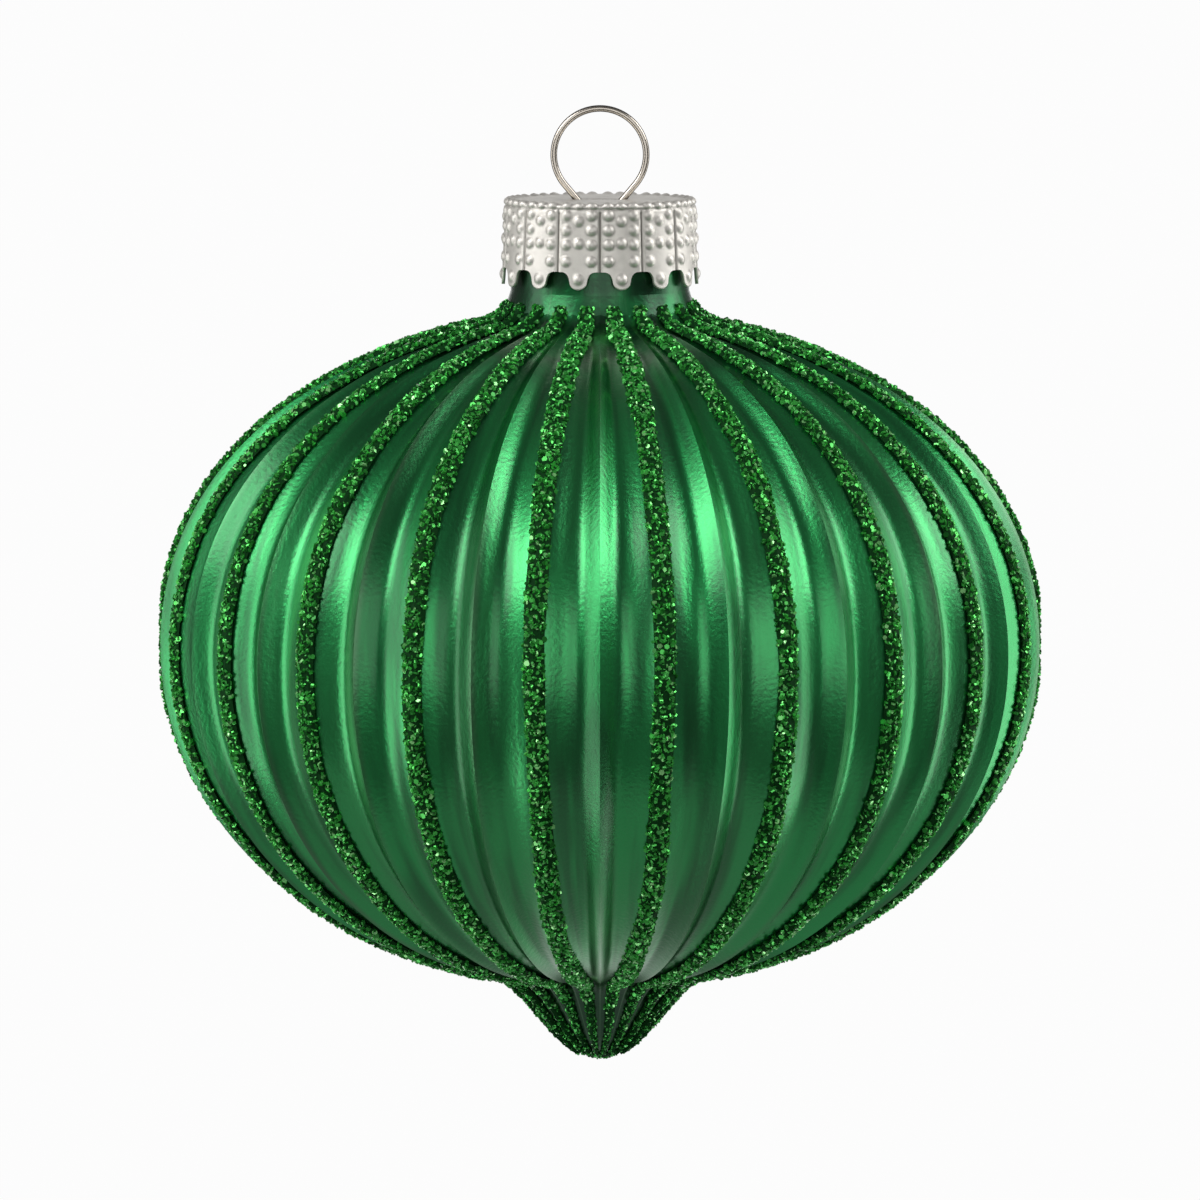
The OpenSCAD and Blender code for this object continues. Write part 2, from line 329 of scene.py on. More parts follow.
def settle(piece):
    """Turns the modifiers of a piece into its plain mesh."""
    depsgraph = bpy.context.evaluated_depsgraph_get()
    mesh = bpy.data.meshes.new_from_object(piece.evaluated_get(depsgraph), depsgraph=depsgraph)
    piece.modifiers.clear()
    old = piece.data
    piece.data = mesh
    mesh.name = piece.name
    bpy.data.meshes.remove(old)


def curve_of(name, splines):
    """A curve object of Bezier splines, each a list of (point, left handle, right handle) in the XZ plane."""
    curve = bpy.data.curves.new(name, "CURVE")
    curve.dimensions = "3D"
    curve.resolution_u = 32
    for knots in splines:
        spline = curve.splines.new("BEZIER")
        spline.bezier_points.add(len(knots) - 1)
        for point, (co, left, right) in zip(spline.bezier_points, knots):
            point.handle_left_type = point.handle_right_type = "FREE"
            point.co = (co[0], 0.0, co[1])
            point.handle_left = (left[0], 0.0, left[1])
            point.handle_right = (right[0], 0.0, right[1])
    return placed(name, curve)


def discard(piece):
    """Removes a helper object that only fed a tree."""
    store = bpy.data.curves if piece.type == "CURVE" else bpy.data.meshes
    data = piece.data
    bpy.data.objects.remove(piece)
    store.remove(data)


CREST_ANGLE = 28
MERGE_DISTANCE = 1e-7
RIDGE_FADE = 2.6 * MM
RIDGE_FOOT = 6.5 * MM
# Pulls set how far the handles of the outline's knots reach.
BELLY_PULL_UP = 0.545
BELLY_PULL_DOWN = 0.533
SHOULDER_PULL = 0.54
THROAT_PULL = 0.507
DROP_PULL = 0.37
TIP_PULL = 0.4
FILLET_PULL = 0.6
SHOULDER_SLOPE = 0.22
THROAT_SLOPE = 0.15


def outline_knots():
    """Bezier knots of the outline on a glitter line, from the pole to the lip, as (radius, level)."""
    glass = settings("glass")
    tip = Vector((0.0, TIP_Z))
    throat = Vector((glass.throat_radius, TIP_Z + glass.throat))
    widest = Vector((glass.radius, TIP_Z + glass.widest))
    shoulder = Vector((glass.shoulder_radius, TIP_Z + glass.shoulder))
    root = Vector((glass.neck_radius, shoulder.y + glass.fillet))
    lip = Vector((glass.neck_radius, TIP_Z + glass.lip))
    throat_run = Vector((1.0, THROAT_SLOPE))
    shoulder_run = Vector((1.0, -SHOULDER_SLOPE))
    tip_reach = Vector((TIP_PULL * throat.x, 0.0))
    drop_reach = DROP_PULL * throat.x * throat_run
    throat_reach = THROAT_PULL * (widest.x - throat.x) * throat_run
    down_reach = Vector((0.0, BELLY_PULL_DOWN * (widest.y - throat.y)))
    up_reach = Vector((0.0, BELLY_PULL_UP * (shoulder.y - widest.y)))
    shoulder_reach = SHOULDER_PULL * (widest.x - shoulder.x) * shoulder_run
    fillet_reach = FILLET_PULL * (shoulder.x - root.x) * shoulder_run
    root_reach = Vector((0.0, FILLET_PULL * (root.y - shoulder.y)))
    neck_reach = (lip - root) / 3
    return [
        (tip, tip - tip_reach, tip + tip_reach),
        (throat, throat - drop_reach, throat + throat_reach),
        (widest, widest - down_reach, widest + up_reach),
        (shoulder, shoulder + shoulder_reach, shoulder - fillet_reach),
        (root, root - root_reach, root + neck_reach),
        (lip, lip - neck_reach, lip + neck_reach),
    ]


def inner_knots():
    """Knots of the inner wall from the lip down to the floor over the filled drop."""
    glass = settings("glass")
    throat, widest, shoulder, root, lip = outline_knots()[1:]
    neck_shift = Vector((-glass.wall, 0.0))
    deep = glass.wall + glass.dip
    shifts = (neck_shift, neck_shift, Vector((0.0, -deep)), Vector((-deep, 0.0)), Vector((0.0, deep)))
    knots = [
        tuple(part + shift for part in (knot[0], knot[2], knot[1]))
        for knot, shift in zip((lip, root, shoulder, widest, throat), shifts)
    ]
    floor = Vector((0.0, throat[0].y + deep + glass.wall))
    reach = Vector((throat[0].x / 3, 0.0))
    return knots + [(floor, floor + reach, floor - reach)]


def ridged_shell():
    """Tree: sweeps an outer and an inner spline round the axis and raises ridges on the outer one."""
    tree = Tree(
        "Ridged Shell",
        "GeometryNodeTree",
        {
            "Object": ["Outline"],
            "Int": ["Ridges", "Pitch Points", "Rings", "Inner Rings"],
            "Float": [
                "Ridge Height", "Full Radius", "Dip Depth", "Dip Share",
                "Sharpness", "Fade Low", "Fade High", "Front",
            ],
            "Material": ["Surface"],
        },
        {"Geometry": ["Geometry"]},
    )
    given = tree.given
    rings = tree.math("ADD", given["Rings"], given["Inner Rings"])
    around = tree.math("MULTIPLY", given["Ridges"], given["Pitch Points"])
    columns = tree.math("ADD", around, 1.0)
    grid = tree.add("GeometryNodeMeshGrid", {"Vertices X": columns, "Vertices Y": rings}).outputs["Mesh"]

    # Row counts up the outer spline and then down the inner one, column counts round the axis.
    index = tree.add("GeometryNodeInputIndex").outputs[0]
    row = tree.math("MODULO", index, rings)
    column = tree.math("FLOOR", tree.math("DIVIDE", index, rings))
    inside = tree.math("GREATER_THAN", row, tree.math("SUBTRACT", given["Rings"], 0.5))
    outer_share = tree.math("DIVIDE", row, tree.math("SUBTRACT", given["Rings"], 1.0))
    inner_row = tree.math("SUBTRACT", row, given["Rings"])
    inner_share = tree.math("DIVIDE", inner_row, tree.math("SUBTRACT", given["Inner Rings"], 1.0))
    choice = {"Switch": inside, "False": outer_share, "True": inner_share}
    share = tree.add("GeometryNodeSwitch", choice, input_type="FLOAT").outputs[0]
    outline = tree.add("GeometryNodeObjectInfo", {"Object": given["Outline"]}).outputs["Geometry"]
    place = {"Curves": outline, "Factor": share, "Curve Index": inside}
    sample = tree.add("GeometryNodeSampleCurve", place, mode="FACTOR")
    radius, _, level = tree.split(sample.outputs["Position"])
    run, _, rise = tree.split(sample.outputs["Tangent"])

    # The ridge share is 0 on a glitter line and 1 on a ridge. Between them lies a shallow dip.
    pitch_share = tree.math("FRACT", tree.math("DIVIDE", column, given["Pitch Points"]))
    ridge_share = tree.math("ABSOLUTE", tree.math("MULTIPLY_ADD", pitch_share, 2.0, -1.0))
    down = tree.remap(ridge_share, 0.0, given["Dip Share"], 0.0, 1.0)
    up = tree.remap(ridge_share, given["Dip Share"], 1.0, 0.0, 1.0)
    down_wave, up_wave = (
        tree.math("MULTIPLY_ADD", tree.math("COSINE", tree.math("MULTIPLY", slope, math.pi)), -0.5, 0.5)
        for slope in (down, up)
    )
    cusp = tree.math("MULTIPLY", up, up)
    sharper = tree.math("MULTIPLY", tree.math("SUBTRACT", cusp, up_wave), given["Sharpness"])
    flank = tree.math("ADD", up_wave, sharper)
    relief = tree.math("ADD", given["Ridge Height"], given["Dip Depth"])
    lift = tree.math("MULTIPLY", flank, relief)
    lift = tree.math("SUBTRACT", lift, tree.math("MULTIPLY", down_wave, given["Dip Depth"]))

    # Ridges fade in the drop, towards the hem of the cap and on the inside.
    part = tree.remap(radius, RIDGE_FOOT, given["Full Radius"], 0.0, 1.0)
    swell = tree.math("SINE", tree.math("MULTIPLY", part, math.pi / 2))
    fade = tree.remap(level, given["Fade Low"], given["Fade High"], 1.0, 0.0)
    lift = tree.math("MULTIPLY", tree.math("MULTIPLY", lift, swell), fade)
    lift = tree.math("MULTIPLY", lift, tree.math("SUBTRACT", 1.0, inside))
    ring_radius = tree.math("ADD", radius, tree.math("MULTIPLY", lift, rise))
    ring_level = tree.math("SUBTRACT", level, tree.math("MULTIPLY", lift, run))
    angle = tree.math("MULTIPLY_ADD", tree.math("DIVIDE", column, around), 2 * math.pi, given["Front"])
    x = tree.math("MULTIPLY", ring_radius, tree.math("COSINE", angle))
    y = tree.math("MULTIPLY", ring_radius, tree.math("SINE", angle))
    shell = tree.store(grid, "ridge", ridge_share)
    shell = tree.step("GeometryNodeSetPosition", shell, {"Position": tree.join(x, y, ring_level)})
    shell = tree.step("GeometryNodeMergeByDistance", shell, {"Distance": MERGE_DISTANCE})
    shell = tree.step("GeometryNodeSetShadeSmooth", shell)
    tree.put_out(shell, given["Surface"])
    return tree


FLAKE_CORNERS = 6
SMALL_FLAKE = 0.6
LARGE_FLAKE = 1.2
# Towards the tip and the neck the flakes are finer.
FINE_FLAKE = 0.6
FINE_RADIUS = 3.0 * MM
COARSE_RADIUS = 14.0 * MM
# Each random value has its own seed, counted from the bead's.
TURN_SEED = 101.0
SIZE_SEED = 202.0
TONE_SEED = 303.0


def flake_bed():
    """Tree: strews leaning six-sided flakes over the upper faces of a bead of glue."""
    tree = Tree(
        "Flake Bed",
        "GeometryNodeTree",
        {
            "Geometry": ["Geometry"],
            "Float": ["Flake Size", "Flake Thickness", "Density", "Tilt"],
            "Int": ["Seed"],
            "Material": ["Glue", "Flakes"],
        },
        {"Geometry": ["Geometry"]},
    )
    given = tree.given
    glue = tree.step("GeometryNodeSetMaterial", given["Geometry"], {"Material": given["Glue"]})
    underside = tree.stored("underside", data_type="BOOLEAN")
    upper = tree.step("GeometryNodeDeleteGeometry", glue, {"Selection": underside}, domain="FACE")
    points = tree.add(
        "GeometryNodeDistributePointsOnFaces",
        {"Mesh": upper, "Density": given["Density"], "Seed": given["Seed"]},
        distribute_method="RANDOM",
    )
    half = tree.math("DIVIDE", given["Flake Size"], 2.0)
    flake = tree.add(
        "GeometryNodeMeshCylinder",
        {"Vertices": FLAKE_CORNERS, "Radius": half, "Depth": given["Flake Thickness"]},
        fill_type="NGON",
    ).outputs["Mesh"]
    back = tree.math("MULTIPLY", given["Tilt"], -1.0)
    turn = tree.add(
        "FunctionNodeRandomValue",
        {
            "Min": tree.join(back, back, -math.pi),
            "Max": tree.join(given["Tilt"], given["Tilt"], math.pi),
            "Seed": tree.math("ADD", given["Seed"], TURN_SEED),
        },
        data_type="FLOAT_VECTOR",
    ).outputs["Value"]
    turn = tree.add("FunctionNodeEulerToRotation", {"Euler": turn}).outputs[0]
    turn = tree.add(
        "FunctionNodeRotateRotation",
        {"Rotation": points.outputs["Rotation"], "Rotate By": turn},
        rotation_space="LOCAL",
    ).outputs[0]
    size, tone = (
        tree.add(
            "FunctionNodeRandomValue",
            {2: low, 3: high, "Seed": tree.math("ADD", given["Seed"], seed)},
            data_type="FLOAT",
        ).outputs[1]
        for low, high, seed in ((SMALL_FLAKE, LARGE_FLAKE, SIZE_SEED), (0.0, 1.0, TONE_SEED))
    )
    x, y, _ = tree.split(tree.add("GeometryNodeInputPosition").outputs[0])
    finer = tree.remap(tree.off_axis(x, y), FINE_RADIUS, COARSE_RADIUS, FINE_FLAKE, 1.0)
    scale = tree.math("MULTIPLY", size, finer)
    flakes = tree.add(
        "GeometryNodeInstanceOnPoints",
        {"Points": points.outputs["Points"], "Instance": flake, "Rotation": turn, "Scale": scale},
    ).outputs[0]
    flakes = tree.store(flakes, "tone", tone, domain="INSTANCE")
    flakes = tree.store(flakes, "flake", 1.0, domain="INSTANCE")
    whole = tree.add("GeometryNodeJoinGeometry")
    tree.feed(whole.inputs[0], flakes)
    tree.feed(whole.inputs[0], glue)
    tree.put_out(whole.outputs[0], given["Flakes"], tree.stored("flake"))
    return tree


# Painted shade: the width and the darkness of the ring round each bump.
BUMP_RING = 0.16 * MM
BUMP_RING_SHADE = 0.34


def stamped_bumps():
    """Tree: raises a round bump on a sheet at each of a cloud of points."""
    tree = Tree(
        "Stamped Bumps",
        "GeometryNodeTree",
        {
            "Geometry": ["Geometry"],
            "Object": ["Centres"],
            "Float": ["Bump Radius", "Bump Height"],
            "Material": ["Surface"],
        },
        {"Geometry": ["Geometry"]},
    )
    given = tree.given
    centres = tree.add("GeometryNodeObjectInfo", {"Object": given["Centres"]}).outputs["Geometry"]
    distance = tree.add("GeometryNodeProximity", {0: centres}, target_element="POINTS").outputs["Distance"]
    # Each bump is a cap of a ball with the given base radius and height.
    base = tree.math("MULTIPLY", given["Bump Radius"], given["Bump Radius"])
    high = tree.math("MULTIPLY", given["Bump Height"], given["Bump Height"])
    ball = tree.math("DIVIDE", tree.math("ADD", base, high), tree.math("MULTIPLY", given["Bump Height"], 2.0))
    reach = tree.math("MINIMUM", distance, given["Bump Radius"])
    drop = tree.math("SUBTRACT", tree.math("MULTIPLY", ball, ball), tree.math("MULTIPLY", reach, reach))
    lift = tree.math("SUBTRACT", tree.math("SQRT", drop), tree.math("SUBTRACT", ball, given["Bump Height"]))
    normal = tree.add("GeometryNodeInputNormal").outputs["Normal"]
    sheet = tree.step("GeometryNodeSetPosition", given["Geometry"], {"Offset": tree.scaled(normal, lift)})
    # Painted shade darkens a ring round the foot of each bump.
    away = tree.math("ABSOLUTE", tree.math("SUBTRACT", distance, given["Bump Radius"]))
    ring = tree.remap(away, 0.0, BUMP_RING, BUMP_RING_SHADE, 0.0)
    sheet = tree.store(sheet, "crease", tree.math("MAXIMUM", tree.stored("crease"), ring))
    sheet = tree.step("GeometryNodeSetShadeSmooth", sheet)
    tree.put_out(sheet, given["Surface"])
    return tree


WIRE_SIDES = 24


def drawn_wire():
    """Tree: draws a round wire along a path and stores how far each point faces the front or the back."""
    tree = Tree(
        "Drawn Wire",
        "GeometryNodeTree",
        {"Object": ["Path"], "Float": ["Radius"], "Int": ["Sides"], "Material": ["Surface"]},
        {"Geometry": ["Geometry"]},
    )
    given = tree.given
    path = tree.add("GeometryNodeObjectInfo", {"Object": given["Path"]}).outputs["Geometry"]
    round_section = tree.add(
        "GeometryNodeCurvePrimitiveCircle", {"Resolution": given["Sides"], "Radius": given["Radius"]}
    ).outputs["Curve"]
    wire = tree.add(
        "GeometryNodeCurveToMesh", {"Curve": path, "Profile Curve": round_section, "Fill Caps": True}
    ).outputs[0]
    wire = tree.step("GeometryNodeSetShadeSmooth", wire)
    # This share feeds the painted side shade of the wire's material.
    _, front, _ = tree.split(tree.add("GeometryNodeInputNormal").outputs["Normal"])
    wire = tree.store(wire, "front", tree.math("ABSOLUTE", front))
    tree.put_out(wire, given["Surface"])
    return tree


def line_angle(index):
    """Angle round the axis of one glitter line."""
    return FRONT_ANGLE + (index + 0.5) * 2 * math.pi / len(LINE_NODES)


def outline_steps(steps):
    """Points of the outline from the tip to the lip, as (radius, level), with their outward normals."""
    knots = outline_knots()
    points = []
    for start, end in zip(knots, knots[1:]):
        ends = [Vector((p.x, p.y, 0.0)) for p in (start[0], start[2], end[1], end[0])]
        points.extend(geometry.interpolate_bezier(*ends, steps + 1)[:-1])
    samples = []
    for before, point, after in zip(points, points[1:], points[2:]):
        run = (after - before).normalized()
        samples.append((point.xy, Vector((run.y, -run.x))))
    return samples


def turned(point, angle):
    """The point in space at a (radius, level) pair and an angle round the axis."""
    return Vector((point.x * math.cos(angle), point.x * math.sin(angle), point.y))


FLAKE_LIMIT = CAD_BOX[1][0] - 0.27 * MM
BEAD_SECTION = ((-1.0, 0.1), (-0.6, 0.75), (0.0, 1.0), (0.6, 0.75), (1.0, 0.1), (0.0, -0.4))
OUTLINE_STEPS = 40
BEAD_GLUE = 0.62
LOWEST_GLUE = 0.3
BEAD_START = 0.2
BEAD_TOP = 0.65
BEAD_WANDER = 0.22 * MM
WANDER_SHARE = 0.06
BEAD_SWELL = 0.16
BEAD_VARIETY = 3.7
SWAY_STEP = 0.09
SWELL_STEP = 0.22
SWELL_LAYER = 9.0
DAB_GLUE = 0.6
DAB_SINK = 0.2
DAB_EDGE = 1.15
DAB_ROUND = 0.9
DAB_SIDES = 24


def bead_mesh(index):
    """The glue of one glitter line: a low bead on its floor, from the tip's dab to the foot of the neck."""
    glass = settings("glass")
    glitter = settings("glitter")
    glue = BEAD_GLUE * glitter.height
    start = DAB_HIGH.x + BEAD_START * glitter.dab
    top = TIP_Z + glass.shoulder + BEAD_TOP * glass.fillet
    line = line_angle(index)
    pitch = 2 * math.pi / len(LINE_NODES)
    rings = []
    for step, (point, normal) in enumerate(outline_steps(OUTLINE_STEPS)):
        if point.x < start or point.y > top:
            continue
        sway = noise.noise(Vector((index * BEAD_VARIETY, step * SWAY_STEP, 0.0)))
        bulge = noise.noise(Vector((index * BEAD_VARIETY, step * SWELL_STEP, SWELL_LAYER)))
        swell = 1.0 + BEAD_SWELL * bulge
        share = glitter.share if point.y < TIP_Z + glass.widest else glitter.neck_share
        half = min(0.5 * glitter.width * swell / point.x, share * pitch / 2)
        middle = line + sway * min(BEAD_WANDER / point.x, WANDER_SHARE * pitch)
        # At the sides the flakes stay inside the box of the solids.
        over = max(0.0, abs((point.x + normal.x * glue) * math.cos(middle)) - FLAKE_LIMIT)
        rise = max(LOWEST_GLUE * glue, glue - over)
        rings.append(
            [turned(point + normal * (lift * rise), middle + side * half) for side, lift in BEAD_SECTION]
        )
    sides = len(BEAD_SECTION)
    points = [point for ring in rings for point in ring]
    faces = []
    for ring in range(len(rings) - 1):
        for side in range(sides):
            here = ring * sides + side
            beside = ring * sides + (side + 1) % sides
            faces.append((here, beside, beside + sides, here + sides))
    # The last two sides of each ring lie on the glass, where no flakes lie.
    hidden = [face % sides >= sides - 2 for face in range(len(faces))] + [False, False]
    faces.append(tuple(reversed(range(sides))))
    faces.append(tuple(range(len(points) - sides, len(points))))
    return marked(mesh_of(LINE_NODES[index], points, faces), "underside", "BOOLEAN", "FACE", hidden)


def dab_mesh():
    """The glue of the tip's dab: a shallow dish under the drop."""
    glue = DAB_GLUE * settings("glitter").dab
    sink = DAB_SINK * glue
    rings = [step for step in outline_steps(OUTLINE_STEPS) if step[0].x <= DAB_HIGH.x * DAB_EDGE]
    last = len(rings) - 1
    layer = len(rings) * DAB_SIDES
    points = [Vector((0.0, 0.0, TIP_Z - glue)), Vector((0.0, 0.0, TIP_Z + sink))]
    for outside in (True, False):
        for index, (point, normal) in enumerate(rings):
            lift = glue * math.sqrt(1.0 - (index / last) ** 2 * DAB_ROUND) if outside else -sink
            points.extend(
                turned(point + normal * lift, 2 * math.pi * side / DAB_SIDES) for side in range(DAB_SIDES)
            )
    faces = []
    for side in range(DAB_SIDES):
        beside = (side + 1) % DAB_SIDES
        faces.append((0, 2 + beside, 2 + side))
        faces.append((1, 2 + layer + side, 2 + layer + beside))
        for ring in range(last):
            low = 2 + ring * DAB_SIDES
            faces.append((low + side, low + beside, low + DAB_SIDES + beside, low + DAB_SIDES + side))
            low += layer
            faces.append((low + beside, low + side, low + DAB_SIDES + side, low + DAB_SIDES + beside))
        rim = 2 + last * DAB_SIDES
        faces.append((rim + side, rim + beside, rim + layer + beside, rim + layer + side))
    hidden = [any(corner == 1 or corner >= 2 + layer for corner in face) for face in faces]
    return marked(mesh_of("glitter_tip", points, faces), "underside", "BOOLEAN", "FACE", hidden)


TONGUE_HALF = 0.85 * MM
TONGUE_FILLET = 0.75 * MM
PANEL_COLUMNS = 32
TOP_ROWS = 10
EDGE_ROWS = 7
SKIRT_ROWS = 52
TONGUE_ROWS = 12
SEAM_START_ROWS = 4
ROW_GAP = 1e-6
SEAM_WIDTH = 0.11 * MM
BORDER_DROP = 0.08 * MM
BORDER_SHARE = 0.5
BUMP_COLUMN = 0.60
SIDE_BUMPS = (0.11, 0.345, 0.57, 0.835)
MIDDLE_BUMPS = (0.20, 0.55)
TONGUE_BUMP = 0.42
TOP_BUMP_COLUMN = 0.62
TOP_BUMP_REACH = 0.45
TOP_BUMP_DROP = 0.10


def slot_reach(angle):
    """Distance from the axis to the edge of the cap's slot in one direction."""
    cap = settings("cap")
    half = cap.slot_width / 2
    straight = cap.slot_half - half
    across = abs(math.sin(angle))
    along = abs(math.cos(angle))
    if half * along <= straight * across:
        return half / across
    return straight * along + math.sqrt(max(0.0, half ** 2 - (straight * across) ** 2))


def tongue_drop(offset):
    """How far the hem hangs below its gaps at an offset along it from the middle of a panel."""
    cap = settings("cap")
    half = TONGUE_HALF
    reach = abs(offset)
    if reach < half:
        return cap.tongue - half + math.sqrt(half ** 2 - reach ** 2)
    over = (half + TONGUE_FILLET - reach) / TONGUE_FILLET
    if over <= 0.0:
        return 0.0
    return TONGUE_FILLET * (1.0 - math.sqrt(1.0 - over ** 2))


def cap_point(angle, drop, radius_offset=0.0):
    """A point on the outside of the cap's skirt, at a depth below the cap's top."""
    cap = settings("cap")
    top_radius = cap.foot_radius - cap.flare
    share = max(0.0, drop - cap.edge) / (cap.top - cap.foot - cap.edge)
    radius = top_radius + cap.flare * share + radius_offset
    return Vector((radius * math.cos(angle), radius * math.sin(angle), cap.top - drop))


def cap_sheet():
    """The outside of the cap as one sheet, from the slot over the rounded edge and down to the tongues."""
    cap = settings("cap")
    panel = 2 * math.pi / cap.tongues
    columns = cap.tongues * PANEL_COLUMNS
    hem = cap.top - cap.foot - cap.tongue
    edge_radius = cap.foot_radius - cap.flare - cap.edge
    rows = TOP_ROWS + EDGE_ROWS + SKIRT_ROWS + TONGUE_ROWS + 1
    points = []
    creases = []
    for column in range(columns):
        angle = FRONT_ANGLE + panel * column / PANEL_COLUMNS
        out = Vector((math.cos(angle), math.sin(angle), 0.0))
        offset = (column % PANEL_COLUMNS / PANEL_COLUMNS - 0.5) * panel * cap.foot_radius
        from_seam = panel * cap.foot_radius / 2 - abs(offset)
        seam = math.exp(-((from_seam / SEAM_WIDTH) ** 2))
        inner = slot_reach(angle)
        line = []
        for step in range(TOP_ROWS):
            reach = inner + (edge_radius - inner) * step / TOP_ROWS
            line.append((out * reach + Vector((0.0, 0.0, cap.top)), 0.0))
        for step in range(EDGE_ROWS):
            turn = math.pi / 2 * step / EDGE_ROWS
            spot = out * (edge_radius + cap.edge * math.sin(turn))
            line.append((spot + Vector((0.0, 0.0, cap.top - cap.edge * (1 - math.cos(turn)))), 0.0))
        for step in range(SKIRT_ROWS):
            drop = cap.edge + (hem - cap.edge) * step / SKIRT_ROWS
            fade = min(1.0, step / SEAM_START_ROWS)
            border = math.exp(-(((drop - cap.edge - BORDER_DROP) / SEAM_WIDTH) ** 2))
            # The crease share also darkens the colour here as painted shade.
            crease = max(seam * fade, BORDER_SHARE * border)
            line.append((cap_point(angle, drop, -cap.seam_depth * crease), crease))
        for step in range(TONGUE_ROWS + 1):
            drop = hem + tongue_drop(offset) * step / TONGUE_ROWS + ROW_GAP * step
            line.append((cap_point(angle, drop, -cap.seam_depth * seam), seam))
        points.extend(spot for spot, _ in line)
        creases.extend(crease for _, crease in line)
    faces = []
    for column in range(columns):
        beside = (column + 1) % columns
        for row in range(rows - 1):
            here = column * rows + row
            there = beside * rows + row
            faces.append((here, here + 1, there + 1, there))
    return marked(mesh_of("cap_shell", points, faces), "crease", "FLOAT", "POINT", creases)


def bump_centres():
    """Centres of the stamped bumps: columns on each panel, a ring on the top edge, one on each tongue."""
    cap = settings("cap")
    panel = 2 * math.pi / cap.tongues
    hem = cap.top - cap.foot - cap.tongue
    top_reach = cap.foot_radius - cap.flare - cap.edge + cap.edge * TOP_BUMP_REACH
    top_level = cap.top - TOP_BUMP_DROP * cap.edge
    columns = ((-BUMP_COLUMN, SIDE_BUMPS), (BUMP_COLUMN, SIDE_BUMPS), (0.0, MIDDLE_BUMPS))
    centres = []
    for index in range(cap.tongues):
        middle = FRONT_ANGLE + (index + 0.5) * panel
        for side, shares in columns:
            for share in shares:
                centres.append(cap_point(middle + side * panel / 2, cap.edge + (hem - cap.edge) * share))
        centres.append(cap_point(middle, hem + TONGUE_BUMP * cap.tongue))
        for side in (-TOP_BUMP_COLUMN, 0.0, TOP_BUMP_COLUMN):
            centres.append(turned(Vector((top_reach, top_level)), middle + side * panel / 2))
    return centres


LEG_INSET = 0.9
LEG_LIFT = 0.4
BEND_STEPS = 8
LOOP_STEPS = 72


def wire_points():
    """The wire's centreline: up one leg, over the loop and down the other leg."""
    hanger = settings("hanger")
    cap = settings("cap")
    thick = hanger.wire / 2
    loop = hanger.loop / 2 - thick
    centre = Vector((0.0, WIRE_HIGH.z - hanger.loop / 2))
    tuck = hanger.tuck
    leave = centre + loop * Vector((math.cos(tuck), -math.sin(tuck)))
    inward = Vector((-math.sin(tuck), -math.cos(tuck)))
    bend = leave + inward * ((leave.y - (cap.top - hanger.turn)) / math.cos(tuck))
    end = Vector((WIRE_HIGH.x - thick * LEG_INSET, WIRE_LOW.z + thick * LEG_LIFT))
    outward = (end - bend).normalized()
    before = bend - inward * hanger.bend
    after = bend + outward * hanger.bend
    leg = []
    for step in range(BEND_STEPS + 1):
        share = step / BEND_STEPS
        leg.append(before * (1 - share) ** 2 + bend * 2 * share * (1 - share) + after * share ** 2)
    leg.append(end)
    turn = math.pi + 2 * tuck
    path = [Vector((-p.x, p.y)) for p in reversed(leg)]
    for step in range(LOOP_STEPS + 1):
        angle = math.pi + tuck - turn * step / LOOP_STEPS
        path.append(centre + loop * Vector((math.cos(angle), math.sin(angle))))
    path.extend(leg)
    return path


def wire_path():
    """A helper curve through the wire's centreline."""
    curve = bpy.data.curves.new("wire_path", "CURVE")
    curve.dimensions = "3D"
    points = wire_points()
    spline = curve.splines.new("POLY")
    spline.points.add(len(points) - 1)
    for point, place in zip(spline.points, points):
        point.co = (place.x, 0.0, place.y, 1.0)
    return placed("wire_path", curve)


NECK_SHADE = (-27 * MM, -19 * MM)
DROP_SHADE = (TIP_Z + 7 * MM, TIP_Z + 13 * MM)
STREAK_TURNS = 9.0
STREAK_STRETCH = 26.0
STREAK_SCALE = 1.6
PATCH_SCALE = 0.7
GRAIN_SCALE = 2600.0
CLOUD_SCALE = 230.0
STAIN_SCALE = 420.0
FINE_DETAIL = 3.0
# Bands of a noise or of the ridge share over which an effect sets in, and how strong it grows.
DEEP_STREAKS = (0.44, 0.64)
DEEPEST_STREAK = 0.65
NECK_CLOUDS = (0.36, 0.58)
LIGHTEST_CLOUD = 0.55
CRESTS = (0.90, 1.0)
BARE_PATCHES = (0.40, 0.66)
CREST_WEAR = 0.60
PLAIN_WEAR = 0.12
SATIN_STREAKS = (0.3, 0.7)
SATIN = (0.30, 0.40)
STAINED_PATCHES = (0.50, 0.75)
MOST_STAIN = 0.22
BLUR_SPREAD = 0.10
STREAK_RELIEF = 3.0
RELIEF_REACH = (8 * MM, 34 * MM)
RELIEF_DEPTH = 0.08 * MM
RELIEF_STRENGTH = 0.5
AXIS_GAP = 0.5 * MM


